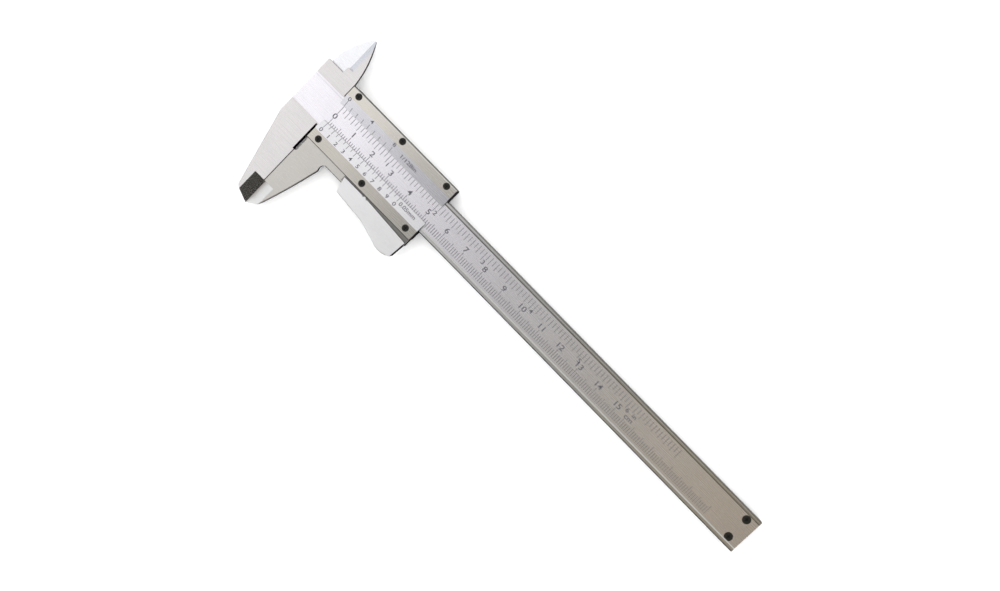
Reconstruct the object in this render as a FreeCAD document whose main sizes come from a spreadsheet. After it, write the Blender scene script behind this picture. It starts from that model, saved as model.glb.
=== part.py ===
import FreeCAD, Part
import math
import os
import re

import Sketcher

# Vernier caliper with a thumb clamp, lying on its back.
#
# +X runs along the beam towards its free end, +Y towards the inside jaws and +Z out of
# the scale face. Every piece is drawn from one datum: x = 0 is the plane where the
# measuring faces meet, y = 0 is the middle of the beam's width and z = 0 is the back
# of the slider's back plate. The pieces are then moved so that the origin lies under
# the middle of the whole caliper.

SIZES = {
    # Beam, one blade with the head and the fixed jaws
    "beam_width": 15.6,
    "beam_thickness": 3.5,
    "beam_reach": 219.5,            # from the measuring faces to the free end
    "band_upper": 6.25,             # sunk band that carries the scales, above the middle
    "band_lower": 5.95,             # and below it
    "band_wall": 0.5,               # width of the band's sloping side walls
    "band_depth": 0.25,
    "rim_chamfer": 0.35,
    "head_width": 14.0,             # from the measuring faces to the head's outer edge
    "head_top": 13.7,
    "head_inset": 0.2,              # the head's edge above the beam, left of the faces
    "step_relief": 0.45,            # small step where one piece passes another
    "face_relief": 0.75,            # relief between the jaws above the measuring faces
    "face_relief_top": 6.7,
    # Outside jaws
    "jaw_depth": 47.6,              # tip of the jaws below the middle of the beam
    "face_top": 19.6,               # where the measuring faces start
    "jaw_shoulder": 12.8,           # where the fixed jaw starts to taper
    "fixed_tip_width": 6.3,
    "fixed_tip_top": 43.8,
    "tip_bevel_width": 4.8,         # knife edges of the outside jaws
    "tip_bevel_top": 35.9,
    "tip_land": 0.9,                # thickness that is left at the knife edge
    "face_chamfer": 0.2,            # along the front of the measuring faces
    "tip_corner_width": 0.9,        # corner taken off a jaw's tip
    "tip_corner_depth": 1.7,
    "outline_chamfer": 0.25,        # along the front of the jaws' and plates' outer edges
    "slider_jaw_width": 12.6,
    "slider_tip_width": 5.2,
    "slider_tip_top": 42.7,
    "slider_jaw_bow": 260.0,        # radius of the movable jaw's outer edge
    "jaw_undercut": 3.3,            # relief between the movable jaw and its rail
    "undercut_bow": 2.5,
    "face_notch_width": 1.0,
    "face_notch_top": 12.9,
    # Inside jaws
    "fin_edge": 6.2,                # measuring edges, left of the outside faces
    "fin_height": 30.35,
    "fin_tip_width": 0.6,
    "fin_base_top": 16.5,
    "fin_bow": 41.0,
    "slider_fin_width": 6.7,
    "slider_fin_bow": 28.0,
    "fin_bevel_width": 2.2,
    "fin_land": 0.3,
    # Slider
    "slider_start": 0.55,           # gap between the head and the slider's plates
    "slider_length": 54.4,
    "slider_top": 13.2,
    "slider_bottom": 12.5,
    "rail_bottom": 15.7,
    "back_plate_thickness": 2.0,
    "front_plate_thickness": 1.6,
    "plate_corner": 0.5,
    "vernier_edge_thickness": 0.25,
    "upper_vernier_edge": 5.05,
    "upper_fold": 9.35,
    "lower_vernier_edge": 3.65,
    "lower_fold": 7.9,
    "slide_clearance": 0.05,
    # Plate screws
    "plate_screw_start": 3.9,       # from the slider's end to the first screw
    "plate_screw_pitch": 23.25,
    "upper_screw_line": 11.7,
    "lower_screw_line": 10.1,
    "screw_head": 2.75,
    "screw_shank": 1.8,
    "screw_head_rim": 0.2,
    "cross_reach": 1.9,
    "cross_width": 0.42,
    "cross_depth": 0.45,
    # Gib strip and its set screws
    "gib_thickness": 0.8,
    "gib_end_gap": 0.6,
    "set_screw": 1.8,
    "set_screw_slot": 0.4,
    "set_screw_slot_depth": 0.6,
    "gib_corner": 0.25,
    # Depth rod
    "rod_width": 3.2,
    "rod_thickness": 1.75,
    "rod_overlap": 14.0,            # length of the rod that lies on the back plate
    "rod_side_clearance": 0.15,
    "rod_cover": 0.2,
    "rod_tip_length": 4.0,
    "rod_tip_relief": 0.8,
    "rod_screw_inset": 8.0,         # from the slider's free end to the rod's screw
    # Stop plate at the free end
    "stop_length": 10.0,
    "stop_side_gap": 0.4,
    "stop_screw_inset": 4.7,
    "stop_screw_line": 4.55,
    "stop_screw_head": 3.4,
    # Thumb lever, a bent channel astride the lower rail
    "lever_start": 21.3,
    "lever_end": 54.6,
    "lever_top_gap": 0.65,           # below the slider's plates, at the thumb end 1.5
    "lever_end_drop": 1.25,
    "lever_sheet": 0.8,
    "lever_side_gap": 0.1,
    "lever_slant": 1.3,
    "lever_end_slant": 0.6,
    "lever_heel": 19.2,             # lower edge at the brake end, below the beam's middle
    "lever_waist_place": 36.5,
    "lever_waist": 20.25,
    "lever_hump_place": 46.9,
    "lever_hump": 23.2,
    "lever_hump_bow": 9.0,
    "lever_toe_place": 53.0,
    "lever_toe": 22.65,
    "lever_toe_bow": 1.2,
    "lever_neck_bow": 80.0,
    "lever_bend": 0.4,              # outside radius where the cheeks meet the floor
    "pin_diameter": 1.2,
    "pin_place": 32.15,
    "pin_drop": 1.5,                # below the plates' lower edge
    "pin_cover": 0.3,               # sheet left in front of the pin's end
    "ear_radius": 0.6,
    "ear_notch": 0.8,
    "running_fit": 0.05,
    # Brake pin and lever spring
    "brake_place": 24.5,
    "brake_diameter": 2.4,
    "spring_place": 46.0,
    "spring_diameter": 2.2,
    "spring_wire": 0.4,
    "spring_turns": 7,
    "spring_seat_depth": 3.4,
    "spring_seat_gap": 0.25,
    "spring_floor_gap": 0.1,        # the floor rises beside the hump
    # How far a cutting outline passes the piece
    "overcut": 1.0,
}

# Places that follow from the sizes, each in terms of sizes and of places above it.
PLACES = {
    "beam_half": "beam_width / 2",
    "beam_back": "back_plate_thickness + slide_clearance",
    "beam_front": "beam_back + beam_thickness",
    "fin_split": "beam_back + beam_thickness / 2",
    "rail_front": "beam_front + slide_clearance",
    "rail_thickness": "rail_front - back_plate_thickness",
    "plate_front": "rail_front + front_plate_thickness",
    "slider_end": "slider_start + slider_length",
    "gib_bottom": "beam_half + slide_clearance",
    "upper_rail_bottom": "gib_bottom + gib_thickness + slide_clearance",
    "first_screw": "slider_start + plate_screw_start",
    "rod_start": "slider_end - rod_overlap",
    "rod_screw_place": "slider_end - rod_screw_inset",
    "rod_groove_top": "back_plate_thickness + rod_thickness + rod_cover",
    "rod_groove_half": "rod_width / 2 + rod_side_clearance",
    "stop_start": "beam_reach - stop_length",
    "stop_screw_place": "beam_reach - stop_screw_inset",
    "pin_line": "slider_bottom + pin_drop",
    "cheek_back": "back_plate_thickness - lever_side_gap",
    "cheek_front": "rail_front + lever_side_gap",
    "pin_length": "cheek_front - cheek_back + 2 * lever_sheet - pin_cover - running_fit",
    "lever_top": "slider_bottom + lever_top_gap",
    "rail_middle": "back_plate_thickness + rail_thickness / 2",
    "stop_thread_end": "beam_back / 2",
    "screw_end_cover": "back_plate_thickness / 4",
    "ear_half": "0.9 * ear_radius",
    "ear_notch_bow": "0.55 * ear_notch",
    "lever_heel_place": "lever_start + lever_slant + lever_sheet / 2",
    "lever_fall": "(lever_waist - lever_heel) / (lever_waist_place - lever_heel_place)",
    "brake_floor": "lever_heel + lever_fall * (brake_place - lever_heel_place) - lever_sheet",
    "brake_length": "brake_floor - beam_half - running_fit",
    "brake_dome": "brake_diameter * (1 - sqrt(3) / 2)",
    "spring_floor": "lever_hump - lever_sheet - spring_floor_gap",
    "spring_length": "spring_floor - rail_bottom + spring_seat_depth - spring_wire",
}

NAME = re.compile(r"[a-z_]+[a-z0-9_]*")
EXACT = 1e-6
SINK_TAPER = -45


def bound(text):
    """Expression text with every size spelled as its cell and every place worked out."""
    def spell(match):
        word = match.group(0)
        if word in SIZES:
            return f"Sizes.{word}"
        if word in PLACES:
            return f"({bound(PLACES[word])})"
        return word
    return NAME.sub(spell, str(text))


doc = FreeCAD.newDocument("Caliper")
sheet = doc.addObject("Spreadsheet::Sheet", "Sizes")
for row, (name, value) in enumerate(SIZES.items(), start=1):
    sheet.set(f"A{row}", name.replace("_", " "))
    sheet.set(f"B{row}", str(value))
    sheet.setAlias(f"B{row}", name)
doc.recompute()

# The origin lies under the middle of the caliper's length and depth.
SHIFT_X = bound("(head_width - beam_reach) / 2")
SHIFT_Y = bound("(jaw_depth - fin_height) / 2")

pieces = []


def number(text):
    """Value of an expression, in millimetres."""
    found = sheet.evalExpression(bound(text))
    return float(getattr(found, "Value", found))


def place(piece, x="0", y="0", z="0", turn=None):
    """Set a finished piece in the caliper's frame."""
    if turn is not None:
        piece.Placement.Rotation = turn
    piece.setExpression(".Placement.Base.x", f"{SHIFT_X} + {bound(x)}")
    piece.setExpression(".Placement.Base.y", f"{SHIFT_Y} + {bound(y)}")
    piece.setExpression(".Placement.Base.z", bound(z))
    pieces.append(piece)


def new_body(label):
    body = doc.addObject("PartDesign::Body", label)
    body.Label = label
    return body


def new_sketch(body, name, plane, offset="0"):
    """Empty sketch on one of the body's own planes, moved along that plane's normal."""
    sketch = body.newObject("Sketcher::SketchObject", name)
    role = f"{plane}_Plane"
    origin_plane = next(f for f in body.Origin.OriginFeatures if f.Role == role)
    sketch.AttachmentSupport = [(origin_plane, "")]
    sketch.MapMode = "FlatFace"
    sketch.setExpression(".AttachmentOffset.Base.z", bound(offset))
    return sketch


def arc_between(start, end, radius):
    """Shorter arc from start to end; a positive radius bends left, a negative one right."""
    chord = end - start
    middle = (start + end) * 0.5
    left = FreeCAD.Vector(-chord.y, chord.x, 0).normalize()
    rise = math.sqrt(max(radius * radius - chord.Length ** 2 / 4, 0))
    side = 1 if radius > 0 else -1
    centre = middle + left * (side * rise)
    on_arc = centre - left * (side * abs(radius))
    return Part.Arc(start, on_arc, end)


def draw(sketch, points):
    """Closed outline. Each point is (x, y), or (x, y, radius) where an arc arrives at it."""
    places = [FreeCAD.Vector(number(p[0]), number(p[1]), 0) for p in points]
    first = sketch.GeometryCount
    count = len(points)
    for i in range(count):
        start = places[i]
        end = places[(i + 1) % count]
        arrival = points[(i + 1) % count]
        if len(arrival) == 3:
            sketch.addGeometry(arc_between(start, end, number(arrival[2])))
        else:
            sketch.addGeometry(Part.LineSegment(start, end))
    for i in range(count):
        edge = first + i
        following = first + (i + 1) % count
        # An arc that bends right is stored from its end to its start.
        arrival = points[(i + 1) % count]
        departure = points[(i + 2) % count]
        edge_end = 1 if len(arrival) == 3 and number(arrival[2]) < 0 else 2
        next_start = 2 if len(departure) == 3 and number(departure[2]) < 0 else 1
        sketch.addConstraint(Sketcher.Constraint("Coincident", edge, edge_end, following, next_start))
        if len(arrival) == 3:
            size = sketch.addConstraint(
                Sketcher.Constraint("Radius", edge, abs(number(arrival[2]))))
            sketch.setExpression(f"Constraints[{size}]", f"abs({bound(arrival[2])})")
    for i in range(count):
        edge = first + i
        arrival = points[(i + 1) % count]
        start_end = 2 if len(arrival) == 3 and number(arrival[2]) < 0 else 1
        for kind, text, value in (("DistanceX", points[i][0], places[i].x),
                                  ("DistanceY", points[i][1], places[i].y)):
            size = sketch.addConstraint(Sketcher.Constraint(kind, -1, 1, edge, start_end, value))
            sketch.setExpression(f"Constraints[{size}]", bound(text))


def draw_circle(sketch, x, y, diameter):
    radius = number(diameter) / 2
    centre = FreeCAD.Vector(number(x), number(y), 0)
    edge = sketch.addGeometry(Part.Circle(centre, FreeCAD.Vector(0, 0, 1), radius))
    for kind, text, value in (("DistanceX", x, centre.x), ("DistanceY", y, centre.y)):
        size = sketch.addConstraint(Sketcher.Constraint(kind, -1, 1, edge, 3, value))
        sketch.setExpression(f"Constraints[{size}]", bound(text))
    size = sketch.addConstraint(Sketcher.Constraint("Diameter", edge, 2 * radius))
    sketch.setExpression(f"Constraints[{size}]", bound(diameter))


def pad(body, sketch, length, against=False):
    feature = body.newObject("PartDesign::Pad", f"{sketch.Name}_pad")
    feature.Profile = sketch
    feature.Reversed = against
    feature.setExpression("Length", bound(length))
    return feature


def pocket(body, sketch, length=None, along=False):
    """Cut against the sketch's normal, or along it, to a length or right through."""
    doc.recompute()
    before = body.Shape.Volume
    feature = body.newObject("PartDesign::Pocket", f"{sketch.Name}_cut")
    feature.Profile = sketch
    feature.Reversed = along
    if length is None:
        feature.Type = "ThroughAll"
        feature.Midplane = True
    else:
        feature.setExpression("Length", bound(length))
    doc.recompute()
    if not body.Shape.Volume < before:
        raise RuntimeError(f"{sketch.Name} cuts nothing")
    return feature


def soften(body, size, chosen, kind="PartDesign::Fillet"):
    """Round or chamfer the body's edges whose middle point passes the test."""
    doc.recompute()
    tip = body.Tip
    names = []
    for i, edge in enumerate(tip.Shape.Edges, start=1):
        middle = edge.valueAt((edge.FirstParameter + edge.LastParameter) / 2)
        if chosen(middle, edge):
            names.append(f"Edge{i}")
    if not names:
        raise RuntimeError(f"{body.Label} has no edge to soften")
    feature = body.newObject(kind, f"{body.Name}_edges_{len(body.Group)}")
    feature.Base = (tip, names)
    feature.setExpression("Radius" if kind.endswith("Fillet") else "Size", bound(size))
    doc.recompute()
    return feature


def upright(edge):
    """True for a straight edge along z."""
    line = edge.lastVertex().Point - edge.firstVertex().Point
    return line.Length > 0 and abs(line.z) > 0.999 * line.Length


def rectangle(x1, y1, x2, y2):
    return [(x1, y1), (x2, y1), (x2, y2), (x1, y2)]


def countersinks(body, name, level, centres, head):
    """Seats for countersunk heads: a rim as wide as the head, then a cone to the shank."""
    for i, (x, y) in enumerate(centres, start=1):
        seat = new_sketch(body, f"{name}_{i}", "XY", level)
        draw_circle(seat, x, y, head)
        pocket(body, seat, "screw_head_rim")
        cone = new_sketch(body, f"{name}_cone_{i}", "XY", f"{level} - screw_head_rim")
        draw_circle(cone, x, y, head)
        cut = pocket(body, cone, f"({head} - screw_shank) / 2")
        cut.TaperAngle = SINK_TAPER
    shanks = new_sketch(body, f"{name}_shanks", "XY", level)
    for x, y in centres:
        draw_circle(shanks, x, y, "screw_shank")
    pocket(body, shanks)


def chamfer_face(body, side, front):
    """Take the front edge off an outside jaw's measuring face; side is -1 for the fixed jaw."""
    corner = new_sketch(body, "face_chamfer", "XZ", "face_top")
    draw(corner, [
        (f"{side} * face_chamfer", front),
        ("0", f"{front} - face_chamfer"),
        (f"-({side}) * face_chamfer", f"{front} - face_chamfer"),
        (f"-({side}) * face_chamfer", f"{front} + face_chamfer"),
        (f"{side} * face_chamfer", f"{front} + face_chamfer"),
    ])
    pocket(body, corner, "jaw_depth", along=True)


def soften_jaw(body, front, shoulder):
    """Chamfer the long outer edge of an outside jaw on its front face."""
    level = number(front)
    limit = number(shoulder)

    def outer(middle, edge):
        ends = (edge.firstVertex().Point, edge.lastVertex().Point)
        flat = all(abs(point.z - level) < EXACT for point in ends)
        long = edge.Length > number("face_top")
        return flat and long and middle.y < -limit and abs(middle.x) > number("tip_bevel_width")
    soften(body, "outline_chamfer", outer, "PartDesign::Chamfer")


# Beam, head and fixed jaws
def make_beam():
    body = new_body("beam")
    blade = new_sketch(body, "blade", "XY", "beam_back")
    draw(blade, [
        ("beam_reach", "-beam_half"),
        ("beam_reach", "beam_half"),
        ("-head_inset", "beam_half"),
        ("-head_inset", "head_top"),
        ("-head_width", "head_top"),
        ("-head_width", "-jaw_shoulder"),
        ("-fixed_tip_width", "-fixed_tip_top"),
        ("-fixed_tip_width + tip_corner_width", "-fixed_tip_top - tip_corner_width"),
        ("0", "-jaw_depth"),
        ("0", "-face_top"),
        ("-face_relief", "-face_top"),
        ("-face_relief", "-face_relief_top"),
        ("0", "-face_relief_top"),
        ("0", "-beam_half"),
    ])
    pad(body, blade, "beam_thickness")
    soften_jaw(body, "beam_front", "jaw_shoulder")

    fin = new_sketch(body, "fixed_fin", "XY", "fin_split + slide_clearance")
    draw(fin, [
        ("-head_inset", "beam_half + gib_thickness"),
        ("-head_inset", "head_top"),
        ("-fin_edge + fin_tip_width", "fin_height", "fin_bow"),
        ("-fin_edge", "fin_height"),
        ("-fin_edge", "fin_base_top"),
        ("-fin_edge - step_relief", "fin_base_top - step_relief"),
        ("-fin_edge - step_relief", "beam_half + gib_thickness"),
    ])
    pad(body, fin, "beam_front - fin_split - slide_clearance")

    # The back half of the head is open for the arm of the movable inside jaw.
    arm_room = new_sketch(body, "arm_room", "XY", "beam_back")
    draw(arm_room, rectangle("-head_width - overcut", "beam_half + slide_clearance",
                             "step_relief", "head_top + overcut"))
    pocket(body, arm_room, "beam_thickness / 2 + slide_clearance", along=True)

    band = new_sketch(body, "scale_band", "YZ")
    draw(band, [
        ("-band_lower", "beam_front - band_depth"),
        ("band_upper", "beam_front - band_depth"),
        ("band_upper + band_wall", "beam_front"),
        ("band_upper + band_wall", "beam_front + overcut"),
        ("-band_lower - band_wall", "beam_front + overcut"),
        ("-band_lower - band_wall", "beam_front"),
    ])
    pocket(body, band)

    groove = new_sketch(body, "rod_groove", "XY", "beam_back - overcut")
    draw(groove, rectangle("rod_start - overcut", "-rod_groove_half",
                           "beam_reach + overcut", "rod_groove_half"))
    pocket(body, groove, "rod_groove_top - beam_back + overcut", along=True)

    tip = new_sketch(body, "tip_bevel", "XZ", "tip_bevel_top")
    draw(tip, [
        ("-tip_bevel_width", "beam_front"),
        ("0", "beam_back + tip_land"),
        ("overcut", "beam_back + tip_land"),
        ("overcut", "beam_front + overcut"),
        ("-tip_bevel_width", "beam_front + overcut"),
    ])
    pocket(body, tip, "jaw_depth", along=True)
    chamfer_face(body, "-1", "beam_front")

    edge = new_sketch(body, "fin_bevel", "XZ", "-fin_base_top")
    draw(edge, [
        ("-fin_edge + fin_bevel_width", "beam_front"),
        ("-fin_edge + fin_bevel_width", "beam_front + overcut"),
        ("-fin_edge - overcut", "beam_front + overcut"),
        ("-fin_edge - overcut", "fin_split + slide_clearance + fin_land"),
        ("-fin_edge", "fin_split + slide_clearance + fin_land"),
    ])
    pocket(body, edge, "fin_height")

    rims = new_sketch(body, "rims", "YZ", "step_relief / 2")
    for side in ("-1", "1"):
        for level, way in (("beam_back", "1"), ("beam_front", "-1")):
            corner = f"{side} * beam_half"
            draw(rims, [
                (f"{corner} - {side} * rim_chamfer", level),
                (f"{corner} - {side} * rim_chamfer", f"{level} - {way} * rim_chamfer"),
                (f"{corner} + {side} * rim_chamfer", f"{level} - {way} * rim_chamfer"),
                (f"{corner} + {side} * rim_chamfer", f"{level} + {way} * rim_chamfer"),
                (corner, f"{level} + {way} * rim_chamfer"),
            ])
    pocket(body, rims, "beam_reach", along=True)

    countersinks(body, "stop_seat", "beam_front - band_depth",
                 [("stop_screw_place", f"{side} * stop_screw_line") for side in ("-1", "1")],
                 "stop_screw_head")
    place(body)


# Stop plate on the back of the beam's free end
def make_stop_plate():
    body = new_body("stop_plate")
    plate = new_sketch(body, "plate", "XY")
    draw(plate, rectangle("stop_start", "-beam_half + stop_side_gap",
                          "beam_reach", "beam_half - stop_side_gap"))
    pad(body, plate, "beam_back")
    soften(body, "plate_corner", lambda middle, edge: upright(edge))
    channel = new_sketch(body, "rod_channel", "XY", "beam_back")
    draw(channel, rectangle("stop_start - overcut", "-rod_groove_half",
                            "beam_reach + overcut", "rod_groove_half"))
    pocket(body, channel, "slide_clearance + rod_cover")
    holes = new_sketch(body, "screw_holes", "XY")
    for side in ("-1", "1"):
        draw_circle(holes, "stop_screw_place", f"{side} * stop_screw_line", "screw_shank")
    pocket(body, holes)
    place(body)


def make_screw(label, x, y, top, length, head, turned=False):
    """Countersunk screw with a cross recess, its head's face at the given height."""
    body = new_body(label)
    half = new_sketch(body, "half_section", "XZ")
    draw(half, [
        ("0", "0"),
        (f"{head} / 2", "0"),
        (f"{head} / 2", "-screw_head_rim"),
        ("screw_shank / 2", f"-screw_head_rim - ({head} - screw_shank) / 2"),
        ("screw_shank / 2", f"-({length})"),
        ("0", f"-({length})"),
    ])
    turn = body.newObject("PartDesign::Revolution", "screw")
    turn.Profile = half
    turn.ReferenceAxis = (half, ["V_Axis"])
    turn.Angle = 360
    cross = new_sketch(body, "cross", "XY")
    arm = "cross_reach / 2"
    slot = "cross_width / 2"
    draw(cross, [
        (arm, f"-{slot}"), (arm, slot), (slot, slot), (slot, arm),
        (f"-{slot}", arm), (f"-{slot}", slot), (f"-{arm}", slot), (f"-{arm}", f"-{slot}"),
        (f"-{slot}", f"-{slot}"), (f"-{slot}", f"-{arm}"), (slot, f"-{arm}"), (slot, f"-{slot}"),
    ])
    pocket(body, cross, "cross_depth")
    over = FreeCAD.Rotation(FreeCAD.Vector(1, 0, 0), 180) if turned else None
    place(body, x, y, top, over)


def make_stop_screws():
    for i, side in enumerate(("-1", "1"), start=1):
        make_screw(f"stop_screw_{i}", "stop_screw_place", f"{side} * stop_screw_line",
                   "beam_front - band_depth", "beam_front - band_depth - stop_thread_end",
                   "stop_screw_head")


def screw_centres(line):
    return [(f"first_screw + {i} * plate_screw_pitch", line) for i in range(3)]


# Slider, held together by six screws
def make_slider_jaw():
    body = new_body("slider_jaw")
    jaw = new_sketch(body, "jaw_and_rail", "XY", "back_plate_thickness")
    draw(jaw, [
        ("slider_start", "-beam_half - slide_clearance"),
        ("slider_start", "-face_notch_top"),
        ("face_notch_width", "-face_notch_top"),
        ("face_notch_width", "-face_top + face_notch_width"),
        ("0", "-face_top", "-face_notch_width"),
        ("0", "-jaw_depth"),
        ("slider_tip_width - tip_corner_width", "-slider_tip_top - tip_corner_depth"),
        ("slider_tip_width", "-slider_tip_top"),
        ("slider_jaw_width - step_relief", "-rail_bottom - jaw_undercut", "slider_jaw_bow"),
        ("slider_jaw_width", "-rail_bottom", "-undercut_bow"),
        ("slider_end", "-rail_bottom"),
        ("slider_end", "-beam_half - slide_clearance"),
    ])
    pad(body, jaw, "rail_thickness")
    soften_jaw(body, "rail_front", "beam_half")
    tip = new_sketch(body, "tip_bevel", "XZ", "tip_bevel_top")
    draw(tip, [
        ("tip_bevel_width", "rail_front"),
        ("tip_bevel_width", "rail_front + overcut"),
        ("-overcut", "rail_front + overcut"),
        ("-overcut", "beam_back + tip_land"),
        ("0", "beam_back + tip_land"),
    ])
    pocket(body, tip, "jaw_depth", along=True)
    chamfer_face(body, "1", "rail_front")
    bore = new_sketch(body, "brake_bore", "XZ")
    draw_circle(bore, "brake_place", "rail_middle", "brake_diameter + 2 * running_fit")
    pocket(body, bore, "jaw_depth", along=True)
    seat = new_sketch(body, "spring_seat", "XZ", "rail_bottom - spring_seat_depth")
    draw_circle(seat, "spring_place", "rail_middle", "spring_diameter + 2 * spring_seat_gap")
    pocket(body, seat, "jaw_depth", along=True)
    holes = new_sketch(body, "holes", "XY")
    for x, y in screw_centres("-lower_screw_line"):
        draw_circle(holes, x, y, "screw_shank")
    draw_circle(holes, "pin_place", "-pin_line", "pin_diameter")
    pocket(body, holes)
    place(body)


def make_upper_rail():
    body = new_body("upper_rail")
    rail = new_sketch(body, "rail", "XY", "back_plate_thickness")
    draw(rail, rectangle("slider_start", "upper_rail_bottom", "slider_end", "slider_top"))
    pad(body, rail, "rail_thickness")
    # The inside jaw reaches left behind the head, half as thick as the rail.
    fin = new_sketch(body, "movable_fin", "XY", "back_plate_thickness")
    draw(fin, [
        ("slider_start + overcut", "upper_rail_bottom"),
        ("slider_start + overcut", "slider_top"),
        ("-fin_edge + step_relief", "slider_top"),
        ("-fin_edge + step_relief", "fin_base_top - step_relief"),
        ("-fin_edge", "fin_base_top"),
        ("-fin_edge", "fin_height"),
        ("-fin_edge - fin_tip_width", "fin_height"),
        ("-fin_edge - slider_fin_width", "slider_top", "slider_fin_bow"),
        ("-fin_edge - slider_fin_width", "upper_rail_bottom"),
    ])
    pad(body, fin, "fin_split - slide_clearance - back_plate_thickness")
    edge = new_sketch(body, "fin_bevel", "XZ", "-fin_base_top")
    draw(edge, [
        ("-fin_edge - fin_bevel_width", "back_plate_thickness"),
        ("-fin_edge", "fin_split - slide_clearance - fin_land"),
        ("-fin_edge + overcut", "fin_split - slide_clearance - fin_land"),
        ("-fin_edge + overcut", "back_plate_thickness - overcut"),
        ("-fin_edge - fin_bevel_width", "back_plate_thickness - overcut"),
    ])
    pocket(body, edge, "fin_height")
    holes = new_sketch(body, "screw_holes", "XY")
    for x, y in screw_centres("upper_screw_line"):
        draw_circle(holes, x, y, "screw_shank")
    pocket(body, holes)
    gib_holes = new_sketch(body, "gib_screw_holes", "XZ")
    for i in range(2):
        draw_circle(gib_holes, f"first_screw + {i + 0.5} * plate_screw_pitch", "rail_middle",
                    "set_screw")
    pocket(body, gib_holes)
    place(body)


def make_gib():
    body = new_body("gib_strip")
    strip = new_sketch(body, "strip", "XY", "beam_back")
    draw(strip, rectangle("slider_start + gib_end_gap", "gib_bottom",
                          "slider_end - gib_end_gap", "gib_bottom + gib_thickness"))
    pad(body, strip, "beam_thickness")
    soften(body, "gib_corner", lambda middle, edge: upright(edge))
    place(body)
    outward = FreeCAD.Rotation(FreeCAD.Vector(1, 0, 0), -90)
    for i in range(2):
        screw = new_body(f"gib_screw_{i + 1}")
        shank = new_sketch(screw, "shank", "XY")
        draw_circle(shank, "0", "0", "set_screw")
        pad(screw, shank, "slider_top - gib_bottom - gib_thickness - set_screw_slot")
        slot = new_sketch(screw, "slot", "XY",
                          "slider_top - gib_bottom - gib_thickness - set_screw_slot")
        draw(slot, rectangle("-set_screw", "-set_screw_slot / 2", "set_screw", "set_screw_slot / 2"))
        pocket(screw, slot, "set_screw_slot_depth")
        place(screw, f"first_screw + {i + 0.5} * plate_screw_pitch", "gib_bottom + gib_thickness",
              "rail_middle", outward)


def make_back_plate():
    body = new_body("back_plate")
    plate = new_sketch(body, "plate", "XY")
    draw(plate, rectangle("slider_start", "-slider_bottom", "slider_end", "slider_top"))
    pad(body, plate, "back_plate_thickness")
    soften(body, "plate_corner", lambda middle, edge: upright(edge))
    holes = new_sketch(body, "screw_holes", "XY")
    for x, y in screw_centres("upper_screw_line") + screw_centres("-lower_screw_line"):
        draw_circle(holes, x, y, "screw_shank")
    draw_circle(holes, "rod_screw_place", "0", "screw_shank")
    pocket(body, holes)
    seat = new_sketch(body, "rod_screw_seat", "XY")
    draw_circle(seat, "rod_screw_place", "0", "screw_head")
    pocket(body, seat, "screw_head_rim", along=True)
    cone = new_sketch(body, "rod_screw_cone", "XY", "screw_head_rim")
    draw_circle(cone, "rod_screw_place", "0", "screw_head")
    cut = pocket(body, cone, "(screw_head - screw_shank) / 2", along=True)
    cut.TaperAngle = SINK_TAPER
    place(body)


def make_vernier_plate(label, outline, line):
    """Front plate drawn as its end section, pushed along the slider."""
    body = new_body(label)
    section = new_sketch(body, "section", "YZ", "slider_start")
    draw(section, outline)
    pad(body, section, "slider_length")
    countersinks(body, "screw_seat", "plate_front", screw_centres(line), "screw_head")
    place(body)


def make_vernier_plates():
    make_vernier_plate("upper_vernier_plate", [
        ("upper_vernier_edge", "rail_front"),
        ("slider_top", "rail_front"),
        ("slider_top", "plate_front - outline_chamfer"),
        ("slider_top - outline_chamfer", "plate_front"),
        ("upper_fold", "plate_front"),
        ("upper_vernier_edge", "rail_front + vernier_edge_thickness"),
    ], "upper_screw_line")
    make_vernier_plate("lower_vernier_plate", [
        ("-slider_bottom", "rail_front"),
        ("-lower_vernier_edge", "rail_front"),
        ("-lower_vernier_edge", "rail_front + vernier_edge_thickness"),
        ("-lower_fold", "plate_front"),
        ("-slider_bottom + outline_chamfer", "plate_front"),
        ("-slider_bottom", "plate_front - outline_chamfer"),
    ], "-lower_screw_line")


def make_plate_screws():
    centres = screw_centres("upper_screw_line") + screw_centres("-lower_screw_line")
    for i, (x, y) in enumerate(centres, start=1):
        make_screw(f"plate_screw_{i}", x, y, "plate_front", "plate_front - screw_end_cover",
                   "screw_head")


# Depth rod, a flat bar that lies in the beam's back and is screwed to the back plate
def make_depth_rod():
    body = new_body("depth_rod")
    bar = new_sketch(body, "bar", "XY", "back_plate_thickness")
    draw(bar, [
        ("rod_start", "-rod_width / 2"),
        ("beam_reach - rod_tip_length", "-rod_width / 2"),
        ("beam_reach - rod_tip_length + rod_tip_relief", "-rod_width / 2 + rod_tip_relief"),
        ("beam_reach", "-rod_width / 2 + rod_tip_relief"),
        ("beam_reach", "rod_width / 2"),
        ("rod_start", "rod_width / 2"),
    ])
    pad(body, bar, "rod_thickness")
    hole = new_sketch(body, "screw_hole", "XY")
    draw_circle(hole, "rod_screw_place", "0", "screw_shank")
    pocket(body, hole)
    place(body)
    make_screw("depth_rod_screw", "rod_screw_place", "0", "0",
               "back_plate_thickness + rod_thickness", "screw_head", turned=True)


def lever_floor(lift):
    """Lower edge of the lever from its heel to its toe, raised by a sheet's thickness or not."""
    return [
        ("lever_heel_place", f"-lever_heel + {lift}"),
        ("lever_waist_place", f"-lever_waist + {lift}"),
        ("lever_hump_place", f"-lever_hump + {lift}", "-lever_neck_bow"),
        ("lever_toe_place", f"-lever_toe + {lift}", "lever_hump_bow"),
    ]


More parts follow.
